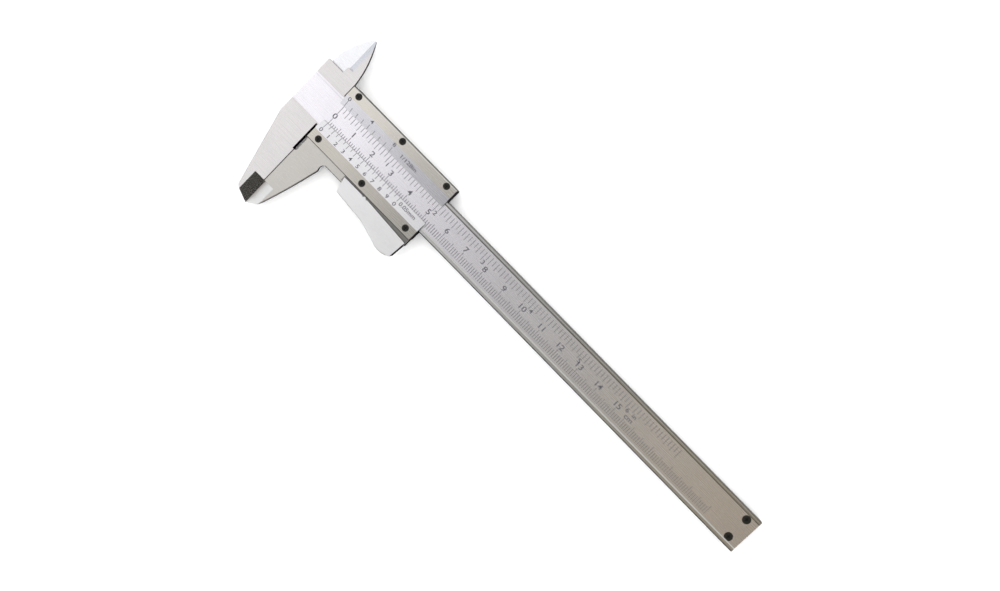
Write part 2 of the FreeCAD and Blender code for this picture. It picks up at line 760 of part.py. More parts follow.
# Thumb lever: two cheeks astride the rail, joined by the floor that the thumb presses
def make_thumb_lever():
    body = new_body("thumb_lever")
    side = new_sketch(body, "side", "XY", "cheek_back - lever_sheet")
    draw(side, [
        ("lever_start", "-lever_top"),
        ("lever_start + lever_slant", "-lever_heel + lever_sheet / 2"),
    ] + lever_floor("0") + [
        ("lever_end - lever_end_slant", "-lever_toe + lever_toe_bow", "lever_toe_bow"),
        ("lever_end", "-lever_top - lever_end_drop"),
        ("pin_place + ear_half + ear_notch", "-lever_top"),
        ("pin_place + ear_half", "-lever_top", "-ear_notch_bow"),
        ("pin_place - ear_half", "-lever_top", "ear_radius"),
        ("pin_place - ear_half - ear_notch", "-lever_top", "-ear_notch_bow"),
    ])
    pad(body, side, "cheek_front - cheek_back + 2 * lever_sheet")
    inside = new_sketch(body, "inside", "XY", "cheek_back")
    draw(inside, [
        ("lever_start - overcut", "-slider_bottom + overcut"),
        ("lever_start - overcut", "-lever_heel + lever_sheet"),
    ] + lever_floor("lever_sheet") + [
        ("lever_end + overcut", "-lever_toe + lever_sheet"),
        ("lever_end + overcut", "-slider_bottom + overcut"),
    ])
    pocket(body, inside, "cheek_front - cheek_back", along=True)
    bore = new_sketch(body, "pin_bore", "XY", "cheek_back - lever_sheet - overcut")
    draw_circle(bore, "pin_place", "-pin_line", "pin_diameter + 2 * running_fit")
    pocket(body, bore, "overcut + pin_length + running_fit", along=True)
    floor_edge = number("lever_heel_place")
    toe_edge = number("lever_toe_place")
    heel = number("lever_heel")
    middle_height = number("rail_middle")
    half_width = number("cheek_front - rail_middle")
    soften(body, "lever_bend",
           lambda middle, edge: floor_edge < middle.x < toe_edge and middle.y < -heel
           and abs(middle.z - middle_height) > half_width)
    place(body)


def make_pivot_pin():
    body = new_body("lever_pivot_pin")
    disc = new_sketch(body, "disc", "XY")
    draw_circle(disc, "0", "0", "pin_diameter")
    pad(body, disc, "pin_length")
    place(body, "pin_place", "-pin_line", "cheek_back - lever_sheet")


def make_brake_pin():
    """Round pin that bears on the beam's lower edge, with a domed foot on the lever's floor."""
    body = new_body("brake_pin")
    half = new_sketch(body, "half_section", "XZ")
    draw(half, [
        ("0", "0"),
        ("brake_diameter / 2", "0"),
        ("brake_diameter / 2", "brake_length - brake_dome"),
        ("0", "brake_length", "brake_diameter"),
    ])
    turn = body.newObject("PartDesign::Revolution", "pin")
    turn.Profile = half
    turn.ReferenceAxis = (half, ["V_Axis"])
    turn.Angle = 360
    towards_lever = FreeCAD.Rotation(FreeCAD.Vector(1, 0, 0), 90)
    place(body, "brake_place", "-beam_half", "rail_middle", towards_lever)


def make_spring():
    """Coil between the rail and the lever's floor, wound about an axis across the beam."""
    coil = doc.addObject("Part::Helix", "coil")
    coil.setExpression("Pitch", bound("spring_length / spring_turns"))
    coil.setExpression("Height", bound("spring_length"))
    coil.setExpression("Radius", bound("(spring_diameter - spring_wire) / 2"))
    wire = doc.addObject("Part::Circle", "wire")
    wire.setExpression("Radius", bound("spring_wire / 2"))
    wire.setExpression(".Placement.Base.x", bound("(spring_diameter - spring_wire) / 2"))
    wire.Placement.Rotation = FreeCAD.Rotation(FreeCAD.Vector(1, 0, 0), 90)
    doc.recompute()
    spring = doc.addObject("Part::Sweep", "lever_spring")
    spring.Sections = [wire]
    spring.Spine = (coil, ["Edge1"])
    spring.Solid = True
    spring.Frenet = True
    spring.Label = "lever_spring"
    towards_lever = FreeCAD.Rotation(FreeCAD.Vector(1, 0, 0), 90)
    place(spring, "spring_place", "-rail_bottom + spring_seat_depth - spring_wire / 2",
          "rail_middle", towards_lever)


def check_and_write():
    doc.recompute()
    for obj in doc.Objects:
        if "Invalid" in obj.State or "Error" in obj.State:
            raise RuntimeError(f"{obj.Name} is {obj.State}")
    os.makedirs("parts", exist_ok=True)
    for piece in pieces:
        shape = piece.Shape
        if shape.isNull() or not shape.isValid() or not shape.Solids:
            raise RuntimeError(f"{piece.Label} has no valid solid")
        shape.exportStep(f"parts/{piece.Label}.step")


make_beam()
make_stop_plate()
make_stop_screws()
make_slider_jaw()
make_upper_rail()
make_gib()
make_back_plate()
make_vernier_plates()
make_plate_screws()
make_depth_rod()
make_thumb_lever()
make_pivot_pin()
make_brake_pin()
make_spring()
check_and_write()
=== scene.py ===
import math

import bpy
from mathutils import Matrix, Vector


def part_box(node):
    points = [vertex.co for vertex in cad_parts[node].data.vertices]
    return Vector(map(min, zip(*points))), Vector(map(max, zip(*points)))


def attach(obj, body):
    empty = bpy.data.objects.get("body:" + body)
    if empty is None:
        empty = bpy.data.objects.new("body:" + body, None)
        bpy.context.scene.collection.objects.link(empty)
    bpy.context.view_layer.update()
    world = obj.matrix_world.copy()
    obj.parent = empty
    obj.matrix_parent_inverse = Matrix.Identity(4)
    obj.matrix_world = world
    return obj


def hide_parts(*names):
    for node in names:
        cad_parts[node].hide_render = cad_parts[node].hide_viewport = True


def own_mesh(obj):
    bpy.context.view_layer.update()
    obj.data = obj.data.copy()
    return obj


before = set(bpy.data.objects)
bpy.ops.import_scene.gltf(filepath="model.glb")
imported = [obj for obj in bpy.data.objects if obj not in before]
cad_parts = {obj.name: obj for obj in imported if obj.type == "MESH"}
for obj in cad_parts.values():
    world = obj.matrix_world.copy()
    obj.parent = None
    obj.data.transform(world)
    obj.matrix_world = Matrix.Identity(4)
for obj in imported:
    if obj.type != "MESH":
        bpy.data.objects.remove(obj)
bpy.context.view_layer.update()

bl_info = {
    "name": "Thumb clamp caliper",
    "version": (1, 1, 0),
    "blender": (4, 5, 0),
    "location": "3D View > Sidebar > Caliper",
    "description": "Finishes a vernier caliper, winds its spring and engraves its scales",
    "category": "Object",
}

MM = 0.001
INCH = 25.4

# Places read from the frame, in metres. The measuring faces meet at JAW_PLANE, and
# CENTRE_LINE is the middle of the beam's width.
JAW_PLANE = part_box("slider_jaw")[0].x
CENTRE_LINE = (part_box("stop_plate")[0].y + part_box("stop_plate")[1].y) / 2
BEAM_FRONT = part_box("beam")[1].z
PLATE_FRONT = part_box("upper_vernier_plate")[1].z
SPRING_LOW, SPRING_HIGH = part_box("lever_spring")


def at(x, y, z=0.0):
    """A place in metres from millimetres right of the faces, above the middle and in front."""
    return Vector((JAW_PLANE + x * MM, CENTRE_LINE + y * MM, BEAM_FRONT + z * MM))


# Where one finish gives way to another, in metres. A pair is a middle and a reach both ways,
# or the two ends of a slow change.
POLISHED_TO = BEAM_FRONT - 1.7 * MM             # jaws' edges are polished behind this height
BAND_FLOOR = BEAM_FRONT - 0.15 * MM             # the scale band lies behind this height
BAND_ROWS = (CENTRE_LINE, 6.9 * MM)
MASK_ROWS = (at(0, 0.55).y, 6.75 * MM)          # the head's part that was masked from blasting
HEAD_END = at(4, 0).x
RIM_CHANGE = (at(10, 0).x, at(45, 0).x)         # from the head's shade to the rims'
FIXED_FIN_FOOT = at(0, 8).y
# Painted shade: the sides that stand in the gap between the jaws take the dark end colour.
JAW_GAP_TOP = at(0, -8.5).y                     # the beam's sides below it stand in the gap
JAW_GAP_END = at(3, 0).x                        # and so do the movable jaw's left of this
JAW_OUTER_EDGE = (at(9.5, 0).x, 6.5 * MM)
# Painted shadow on the rail's strip right of the jaw, where the plates and the lever shade it.
RAIL_SHADOW_START = at(20.8, 0).x                     # the rail's unground strip, right of the jaw
RAIL_SHADOW_BOTTOM = at(0, -15).y
PLATE_DARKENING = (at(18, 0).x, at(56, 0).x)
DARKENED_LEVEL = 0.86

# Shares of the unit normal that tell sides, chamfers and flat faces apart.
TO_FREE_END = (0.1, 0.6)                        # x of a side, from bright to unlit
LYING = (0.5, 0.82)                             # z, from a side to a flat face
CHAMFER = (0.64, 0.29)                          # z of a chamfer, and how far it may differ
CHAMFER_LEAN = 0.3                              # y that a chamfer along the beam exceeds
LEVER_BEND = (0.75, 0.9)                        # z, from a bend of the sheet to its cheek
INNER_CHEEK = 0.3                               # z that the lever's inner faces exceed
LEVER_TOP = 0.5                                 # y that the cheeks' upper edges exceed
PLATE_FLAT = 0.975                              # z that the vernier plates' flats exceed

# Grain. Noise stays inside this part of its range nearly everywhere.
NOISE = (0.3, 0.7)
STREAK_LEVEL = (0.955, 1.03)
CLOUD_LEVEL = (0.975, 1.02)
CLOUD_PITCH = (9.0, 6.0)                        # mm along and across
ROUGHNESS_SPREAD = (-0.05, 0.06)
RIDGE_STRENGTH = 0.3

# Font: how high its digits stand, as a share of the font's size.
DIGIT_SHARE = 0.7


def linear(hex_code):
    """Opaque linear colour from an sRGB code such as 0xC8C6C0."""
    channels = ((hex_code >> 16) & 255, (hex_code >> 8) & 255, hex_code & 255)
    values = [c / 255 for c in channels]
    levels = (v / 12.92 if v <= 0.04045 else ((v + 0.055) / 1.055) ** 2.4 for v in values)
    return (*levels, 1)


def colour(hex_code, name, description):
    """A colour that the panel offers, from its sRGB code."""
    return bpy.props.FloatVectorProperty(
        name=name, description=description, default=linear(hex_code),
        subtype="COLOR", size=4, min=0, max=1)


def length(value, name, description):
    """A size in millimetres, kept in metres."""
    return bpy.props.FloatProperty(
        name=name, description=description, default=value * MM, unit="LENGTH", precision=5)


class CaliperScales(bpy.types.PropertyGroup):
    """Sizes of the engraved scales."""

    zero: length(2.56, "Zero line", "Distance of the main scales' zero from the faces")
    band_depth: length(0.25, "Band depth", "How far the scale band lies below the beam's rims")
    line_width: length(0.2, "Line width", "Width of an engraved line")
    fill: length(0.012, "Fill", "How far the dark fill stands out of its groove")
    metric_edge: length(-5.12, "Metric edge", "Outer ends of the millimetre lines")
    metric_short: length(-2.33, "Millimetre lines", "Inner ends of the millimetre lines")
    metric_middle: length(-1.57, "Five millimetre lines", "Inner ends of the lines at five")
    metric_long: length(-1.1, "Centimetre lines", "Inner ends of the centimetre lines")
    metric_number: length(2.1, "Centimetre numbers", "Height of the centimetre numbers")
    metric_number_line: length(0.2, "Centimetre row", "Middle of the centimetre numbers")
    inch_edge: length(5.35, "Inch edge", "Outer ends of the inch scale's lines")
    inch_short: length(2.75, "Sixteenth lines", "Inner ends of the sixteenth lines")
    inch_middle: length(2.01, "Eighth lines", "Inner ends of the eighth lines")
    inch_long: length(1.38, "Inch lines", "Inner ends of the inch lines")
    inch_number: length(1.7, "Inch numbers", "Height of the inch numbers")
    inch_number_line: length(1.5, "Inch row", "Middle of the inch numbers")
    vernier_number: length(1.55, "Vernier numbers", "Height of the vernier numbers")
    legend: length(1.6, "Legends", "Height of the words that name a scale's step")
    stretch: bpy.props.FloatProperty(
        name="Number stretch", description="Width of the numbers against the plain font's",
        default=1.25, min=0.5, max=2)
    weight: bpy.props.FloatProperty(
        name="Number weight", description="How far the numbers' strokes are thickened, as a "
        "share of their size", default=0.012, min=0, max=0.05)


class CaliperSpring(bpy.types.PropertyGroup):
    """Sizes of the lever's coil spring."""

    wire: length(0.4, "Wire", "Diameter of the spring's wire")
    turns: bpy.props.IntProperty(
        name="Turns", description="Turns of the coil", default=7, min=2, max=20)
    squeeze: length(0.86, "Squeeze", "How much the spring shortens when the lever is pressed")


class CaliperFinishes(bpy.types.PropertyGroup):
    """Colours of the finishes."""

    band: colour(0xF3F0F5, "Scale band", "Brushed chrome of the scale band")
    head: colour(0xDDDAD9, "Head", "Bead-blasted chrome of the head and the fixed jaws")
    # Painted light: this slope faces the bright side and is coloured paler for it.
    step: colour(0xC6C5C3, "Band step", "Slope from the scale band up to the lower rim")
    rim: colour(0xD3D2D1, "Rims", "Ground rims beside the scale band")
    jaw: colour(0xCFCCC6, "Movable jaw", "Ground steel of the movable jaw and its rail")
    # This colour is painted shadow on the rail under the plates and above the lever.
    strip: colour(0x8E8C88, "Rail strip", "Unground strip of the rail beside the lever")
    inside_jaw: colour(0xF2F3F5, "Inside jaw", "Lapped steel of the movable inside jaw")
    # Also the painted paler colour of chamfers that turn up.
    back: colour(0xC9C6C0, "Back plate", "Ground steel of the back plate and the depth rod")
    upper_plate: colour(0xD8D4CB, "Upper plate", "Satin chrome of the inch vernier's plate")
    lower_plate: colour(0xCAC6BD, "Lower plate", "Satin chrome of the metric vernier's plate")
    bevel: colour(0xE8E7EC, "Vernier bevels", "Brushed slopes that carry the vernier lines")
    lever: colour(0xFDFDFF, "Lever", "Bright satin plating of the thumb lever")
    # Also painted shade on the beam's upper slopes and where the lever's sheet is bent round.
    edge: colour(0x8B8A86, "Cut edges", "Milled side faces")
    # This colour is painted shade: sides turned to the free end, chamfers turned down, the gap
    # between the jaws and the inside of the lever.
    end: colour(0x1C1C1E, "End faces", "Unpolished side faces that turn towards the free end")
    black: colour(0x0E0D0D, "Black oxide", "Recesses and flanks of the blackened screws")
    worn: colour(0x26251F, "Worn oxide", "Flat of a screw head, rubbed paler")
    line: colour(0x57575C, "Line fill", "Dark enamel in the engraved lines")
    number: colour(0x505057, "Number fill", "Dark enamel in the engraved numbers")
    wire: colour(0x9A9A9C, "Spring wire", "Drawn steel wire and pin")
    bronze: colour(0xA9825A, "Bronze", "Gib strip")
    brass: colour(0xB89A5C, "Brass", "Brake pin")
    floor: colour(0xFAFAFA, "Floor", "Pale table top")


def choose(*objects):
    """Select these objects alone, the last one active."""
    bpy.ops.object.select_all(action="DESELECT")
    for one in objects:
        one.select_set(True)
    bpy.context.view_layer.objects.active = objects[-1]


def apply_modifiers(piece):
    """Apply a piece's modifiers in their order."""
    choose(piece)
    for modifier in list(piece.modifiers):
        bpy.ops.object.modifier_apply(modifier=modifier.name)


def joined(name, parts):
    """One piece from several, named and with its place kept in its mesh."""
    choose(*parts)
    if len(parts) > 1:
        bpy.ops.object.join()
    piece = bpy.context.view_layer.objects.active
    piece.name = name
    piece.data.name = name
    return piece


def seat(piece, place, tilt=0.0):
    """Turn a piece about x by the tilt, move its zero point to the place and apply both."""
    choose(piece)
    piece.rotation_euler = (tilt, 0, 0)
    piece.location = place
    bpy.ops.object.transform_apply(location=True, rotation=True, scale=True)


def add_node(tree, kind, sockets=None, **settings):
    """Add a node with its settings. Each socket gets a value, or a node or output to link."""
    node = tree.nodes.new(kind)
    for key, value in settings.items():
        setattr(node, key, value)
    for socket, given in (sockets or {}).items():
        if isinstance(given, bpy.types.Node):
            given = next(output for output in given.outputs if output.enabled)
        if isinstance(given, bpy.types.NodeSocket):
            tree.links.new(given, node.inputs[socket])
        else:
            node.inputs[socket].default_value = given
    return node


def new_material(name):
    """An empty material and its node tree."""
    material = bpy.data.materials.new(name)
    material.use_nodes = True
    tree = material.node_tree
    tree.nodes.clear()
    return material, tree


def grain(tree, along, across, seed):
    """Streaks along x: a value round 0.5 that changes slowly along x and fast across it."""
    where = add_node(tree, "ShaderNodeTexCoord")
    stretch = add_node(tree, "ShaderNodeMapping",
                       {"Vector": where.outputs["Object"],
                        "Scale": (1 / (along * MM), 1 / (across * MM), 1 / (across * MM)),
                        "Location": (seed, seed * 2.3, seed * 1.7)})
    return add_node(tree, "ShaderNodeTexNoise",
                    {"Vector": stretch, "Scale": 1.0, "Detail": 3.0, "Roughness": 0.6})


def faces_of(tree):
    """Outputs of the surface's normal and of its place, and a node for how flat it lies."""
    surface = add_node(tree, "ShaderNodeNewGeometry")
    normal = add_node(tree, "ShaderNodeSeparateXYZ", {"Vector": surface.outputs["Normal"]})
    flat = add_node(tree, "ShaderNodeMath", {0: normal.outputs["Z"]}, operation="ABSOLUTE")
    where = add_node(tree, "ShaderNodeTexCoord")
    place = add_node(tree, "ShaderNodeSeparateXYZ", {"Vector": where.outputs["Object"]})
    return normal.outputs, place.outputs, flat


def with_sides(tree, surface, face, shaded=None, foot=None, gap=None):
    """Colour of the flat faces, with milled sides, dark ends and shaded chamfers.

    The sides turned to the free end get painted shade, nearly black, as a painted reflection of
    the unlit room, and so do the chamfers turned down. The caller can give the chamfers'
    colour, and nodes that are one at the polished foot of a side or in the gap between the
    jaws, where the sides get the same painted shade.
    """
    tints = bpy.context.scene.caliper_finishes
    normal, _, flat = surface
    # Painted shade on the sides: they darken to nearly black as they turn towards the free end.
    to_end = add_node(tree, "ShaderNodeMapRange",
                      {"Value": normal["X"], "From Min": TO_FREE_END[0],
                       "From Max": TO_FREE_END[1]})
    # Painted shade in the gap between the jaws: its sides take the dark end colour too.
    if gap:
        to_end = add_node(tree, "ShaderNodeMath", {0: to_end, 1: gap}, operation="MAXIMUM")
    side = add_node(tree, "ShaderNodeMix", {"Factor": to_end, "A": tints.edge, "B": tints.end},
                    data_type="RGBA")
    if foot:
        side = add_node(tree, "ShaderNodeMix",
                        {"Factor": foot, "A": side, "B": tints.inside_jaw}, data_type="RGBA")
    lying = add_node(tree, "ShaderNodeMapRange",
                     {"Value": flat, "From Min": LYING[0], "From Max": LYING[1]})
    whole = add_node(tree, "ShaderNodeMix", {"Factor": lying, "A": side, "B": face},
                     data_type="RGBA")
    # Painted light and shade on the chamfers: paler where they turn up, nearly black where they
    # turn down.
    if not shaded:
        down = add_node(tree, "ShaderNodeMath", {0: normal["Y"], 1: 0.0},
                        operation="LESS_THAN")
        shaded = add_node(tree, "ShaderNodeMix",
                          {"Factor": down, "A": tints.back, "B": tints.end}, data_type="RGBA")
    sloping = add_node(tree, "ShaderNodeMath", {0: flat, 1: CHAMFER[0], 2: CHAMFER[1]},
                       operation="COMPARE")
    upright = add_node(tree, "ShaderNodeMath", {0: normal["Y"], 1: 0.0, 2: CHAMFER_LEAN},
                       operation="COMPARE")
    chamfer = add_node(tree, "ShaderNodeMath", {0: sloping, 1: upright}, operation="SUBTRACT",
                       use_clamp=True)
    return add_node(tree, "ShaderNodeMix", {"Factor": chamfer, "A": whole, "B": shaded},
                    data_type="RGBA")


def plain_face(tint):
    """Function that gives one colour to every flat face, sides apart."""
    def tint_of(tree):
        face = add_node(tree, "ShaderNodeRGB")
        face.outputs["Color"].default_value = tint
        return with_sides(tree, faces_of(tree), face)
    return tint_of


def lever_face(tree):
    """Plated lever, with painted shade where its sheet is bent round and inside it."""
    tints = bpy.context.scene.caliper_finishes
    surface = faces_of(tree)
    normal, place, flat = surface
    # Painted shade: where the sheet is bent round, the plating colour gives way to the grey
    # side.
    bent = add_node(tree, "ShaderNodeMapRange",
                    {"Value": flat, "From Min": LEVER_BEND[0], "From Max": LEVER_BEND[1]})
    plated = add_node(tree, "ShaderNodeMix",
                      {"Factor": bent, "A": tints.edge, "B": tints.lever}, data_type="RGBA")
    # Painted shade: the inner faces look to the front from behind the front cheek and are dark.
    behind = add_node(tree, "ShaderNodeMath", {0: place["Z"], 1: BEAM_FRONT},
                      operation="LESS_THAN")
    forward = add_node(tree, "ShaderNodeMath", {0: normal["Z"], 1: INNER_CHEEK},
                       operation="GREATER_THAN")
    inner = add_node(tree, "ShaderNodeMath", {0: behind, 1: forward}, operation="MULTIPLY")
    face = add_node(tree, "ShaderNodeMix", {"Factor": inner, "A": plated, "B": tints.end},
                    data_type="RGBA")
    # Painted shade: the cheeks' upper edges take the dark colour of the gap.
    upward = add_node(tree, "ShaderNodeMath", {0: normal["Y"], 1: LEVER_TOP},
                      operation="GREATER_THAN")
    return with_sides(tree, surface, face, shaded=face, gap=upward)


def jaw_face(tree):
    """Ground movable jaw, and painted shadow on the rail between the plates and the lever."""
    tints = bpy.context.scene.caliper_finishes
    surface = faces_of(tree)
    _, place, _ = surface
    # Painted shadow: the rail's strip between the plates and the lever is coloured darker.
    beyond = add_node(tree, "ShaderNodeMath", {0: place["X"], 1: RAIL_SHADOW_START},
                      operation="GREATER_THAN")
    above = add_node(tree, "ShaderNodeMath", {0: place["Y"], 1: RAIL_SHADOW_BOTTOM},
                     operation="GREATER_THAN")
    strip = add_node(tree, "ShaderNodeMath", {0: beyond, 1: above}, operation="MULTIPLY")
    face = add_node(tree, "ShaderNodeMix", {"Factor": strip, "A": tints.jaw, "B": tints.strip},
                    data_type="RGBA")
    behind = add_node(tree, "ShaderNodeMath", {0: place["Z"], 1: POLISHED_TO},
                      operation="LESS_THAN")
    outer = add_node(tree, "ShaderNodeMath",
                     {0: place["X"], 1: JAW_OUTER_EDGE[0], 2: JAW_OUTER_EDGE[1]},
                     operation="COMPARE")
    foot = add_node(tree, "ShaderNodeMath", {0: behind, 1: outer}, operation="MULTIPLY")
    # Painted shade on the movable jaw's sides that face the gap.
    gap = add_node(tree, "ShaderNodeMath", {0: place["X"], 1: JAW_GAP_END},
                   operation="LESS_THAN")
    return with_sides(tree, surface, face, foot=foot, gap=gap)


def beam_face(tree):
    """Sunk band, ground rims beside it and the blasted head, told apart by their places."""
    tints = bpy.context.scene.caliper_finishes
    surface = faces_of(tree)
    normal, place, _ = surface
    low = add_node(tree, "ShaderNodeMath", {0: place["Z"], 1: BAND_FLOOR},
                   operation="LESS_THAN")
    middle = add_node(tree, "ShaderNodeMath",
                      {0: place["Y"], 1: BAND_ROWS[0], 2: BAND_ROWS[1]}, operation="COMPARE")
    sunk = add_node(tree, "ShaderNodeMath", {0: low, 1: middle}, operation="MULTIPLY")
    # On the head the blasting stops beside the band, at the edge of the mask.
    on_head = add_node(tree, "ShaderNodeMath", {0: place["X"], 1: HEAD_END},
                       operation="LESS_THAN")
    masked = add_node(tree, "ShaderNodeMath",
                      {0: place["Y"], 1: MASK_ROWS[0], 2: MASK_ROWS[1]}, operation="COMPARE")
    bare = add_node(tree, "ShaderNodeMath", {0: on_head, 1: masked}, operation="MULTIPLY")
    bright = add_node(tree, "ShaderNodeMath", {0: sunk, 1: bare}, operation="MAXIMUM")
    past_head = add_node(tree, "ShaderNodeMapRange",
                         {"Value": place["X"], "From Min": RIM_CHANGE[0],
                          "From Max": RIM_CHANGE[1]})
    raised = add_node(tree, "ShaderNodeMix",
                      {"Factor": past_head, "A": tints.head, "B": tints.rim}, data_type="RGBA")
    face = add_node(tree, "ShaderNodeMix", {"Factor": bright, "A": raised, "B": tints.band},
                    data_type="RGBA")

    # Painted light and shade on the slopes: the step below the band faces the bright side and
    # is painted paler, the chamfer below it is painted the darkest, and the slopes above take
    # the grey.
    lower = add_node(tree, "ShaderNodeMath", {0: place["Y"], 1: CENTRE_LINE},
                     operation="LESS_THAN")
    rising = add_node(tree, "ShaderNodeMath", {0: normal["Y"], 1: 0.0},
                      operation="GREATER_THAN")
    low_slope = add_node(tree, "ShaderNodeMix",
                         {"Factor": rising, "A": tints.end, "B": tints.step},
                         data_type="RGBA")
    any_slope = add_node(tree, "ShaderNodeMix",
                         {"Factor": lower, "A": tints.edge, "B": low_slope}, data_type="RGBA")
    shaded = add_node(tree, "ShaderNodeMix", {"Factor": on_head, "A": any_slope, "B": face},
                      data_type="RGBA")

    behind = add_node(tree, "ShaderNodeMath", {0: place["Z"], 1: POLISHED_TO},
                      operation="LESS_THAN")
    at_fin = add_node(tree, "ShaderNodeMath", {0: place["Y"], 1: FIXED_FIN_FOOT},
                      operation="GREATER_THAN")
    foot = add_node(tree, "ShaderNodeMath", {0: behind, 1: at_fin}, operation="MULTIPLY")
    # Painted shade on the beam's sides below the top of the jaws' gap.
    gap = add_node(tree, "ShaderNodeMath", {0: place["Y"], 1: JAW_GAP_TOP},
                   operation="LESS_THAN")
    return with_sides(tree, surface, face, shaded=shaded, foot=foot, gap=gap)


def plate_face(tint):
    """Function that gives a vernier plate's flat that colour and leaves its slope brushed."""
    def tint_of(tree):
        tints = bpy.context.scene.caliper_finishes
        surface = faces_of(tree)
        _, place, flat = surface
        level = add_node(tree, "ShaderNodeMath", {0: flat, 1: PLATE_FLAT},
                         operation="GREATER_THAN")
        brushed = add_node(tree, "ShaderNodeMix",
                           {"Factor": level, "A": tints.bevel, "B": tint}, data_type="RGBA")
        # The plates are coloured darker towards their right end.
        darkened = add_node(tree, "ShaderNodeMapRange",
                          {"Value": place["X"], "From Min": PLATE_DARKENING[0], "From Max": PLATE_DARKENING[1],
                           "To Min": 1.0, "To Max": DARKENED_LEVEL})
        face = add_node(tree, "ShaderNodeVectorMath", {"Vector": brushed, "Scale": darkened},
                        operation="SCALE")
        return with_sides(tree, surface, face)
    return tint_of


def metal(name, tint_of, along, across, depth, roughness):
    """Metal with the tint that a function gives, and a grain of that pitch and depth in mm."""
    material, tree = new_material(name)
    streaks = grain(tree, along, across, len(name))
    blotches = grain(tree, *CLOUD_PITCH, len(name) + 3)
    light = add_node(tree, "ShaderNodeMapRange",
                     {"Value": streaks, "From Min": NOISE[0], "From Max": NOISE[1],
                      "To Min": STREAK_LEVEL[0], "To Max": STREAK_LEVEL[1]})
    cloud = add_node(tree, "ShaderNodeMapRange",
                     {"Value": blotches, "From Min": NOISE[0], "From Max": NOISE[1],
                      "To Min": CLOUD_LEVEL[0], "To Max": CLOUD_LEVEL[1]})
    level = add_node(tree, "ShaderNodeMath", {0: light, 1: cloud}, operation="MULTIPLY")
    shade = add_node(tree, "ShaderNodeVectorMath", {"Vector": tint_of(tree), "Scale": level},
                     operation="SCALE")
    sheen = add_node(tree, "ShaderNodeMapRange",
                     {"Value": streaks, "From Min": NOISE[0], "From Max": NOISE[1],
                      "To Min": roughness + ROUGHNESS_SPREAD[0],
                      "To Max": roughness + ROUGHNESS_SPREAD[1]})
    ridges = add_node(tree, "ShaderNodeBump",
                      {"Height": streaks, "Strength": RIDGE_STRENGTH, "Distance": depth * MM})
    # The reflections' edge tint takes the same colour, painted shade included, so painted dark
    # faces stay dark at grazing angles.
    surface = add_node(tree, "ShaderNodeBsdfPrincipled",
                       {"Metallic": 1.0, "Base Color": shade, "Specular Tint": shade,
                        "Roughness": sheen, "Normal": ridges})
    add_node(tree, "ShaderNodeOutputMaterial", {"Surface": surface})
    return material


def enamel(name, tint, roughness):
    """Dark coat with a fine mottle, in the engraved lines and numbers."""
    material, tree = new_material(name)
    mottle = add_node(tree, "ShaderNodeMapRange",
                      {"Value": grain(tree, 0.4, 0.4, len(name)), "From Min": NOISE[0],
                       "From Max": NOISE[1], "To Min": 0.8, "To Max": 1.2})
    shade = add_node(tree, "ShaderNodeVectorMath", {"Vector": tint[:3], "Scale": mottle},
                     operation="SCALE")
    surface = add_node(tree, "ShaderNodeBsdfPrincipled",
                       {"Base Color": shade, "Roughness": roughness})
    add_node(tree, "ShaderNodeOutputMaterial", {"Surface": surface})
    return material


def black_oxide(name, top):
    """Blackened screw whose head is rubbed paler on its flat, at the given height."""
    tints = bpy.context.scene.caliper_finishes
    material, tree = new_material(name)
    where = add_node(tree, "ShaderNodeTexCoord")
    place = add_node(tree, "ShaderNodeSeparateXYZ", {"Vector": where.outputs["Object"]})
    rubbed = add_node(tree, "ShaderNodeMath",
                      {0: place.outputs["Z"], 1: top, 2: 0.05 * MM}, operation="COMPARE")
    patchy = add_node(tree, "ShaderNodeMapRange",
                      {"Value": grain(tree, 0.3, 0.3, len(name)), "From Min": 0.35,
                       "From Max": 0.65, "To Min": 0.65, "To Max": 1.0})
    share = add_node(tree, "ShaderNodeMath", {0: rubbed, 1: patchy}, operation="MULTIPLY")
    coat = add_node(tree, "ShaderNodeMix", {"Factor": share, "A": tints.black, "B": tints.worn},
                    data_type="RGBA")
    surface = add_node(tree, "ShaderNodeBsdfPrincipled",
                       {"Base Color": coat, "Roughness": 0.45, "Metallic": 0.4})
    add_node(tree, "ShaderNodeOutputMaterial", {"Surface": surface})
    return material


def dress(node, material):
    """Give a CAD piece its finish."""
    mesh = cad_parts[node].data
    mesh.materials.clear()
    mesh.materials.append(material)


class CALIPER_OT_beam(bpy.types.Operator):
    """Finish the beam with its head and fixed jaws, and the stop plate on its back"""

    bl_idname = "caliper.beam"
    bl_label = "Beam"

    def execute(self, context):
        # Hard-chromed stainless steel. The band is brushed lengthways, so it draws the light
        # out along the beam. The rims are ground and the head is bead-blasted, both duller.
        dress("beam", metal("satin_chromed_blade", beam_face,
                            along=14.0, across=0.12, depth=0.004, roughness=0.26))
        # The same steel, ground only, as it lies out of sight.
        ground = plain_face(context.scene.caliper_finishes.back)
        dress("stop_plate", metal("ground_stop_plate", ground,
                                  along=6.0, across=0.2, depth=0.004, roughness=0.38))
        return {"FINISHED"}


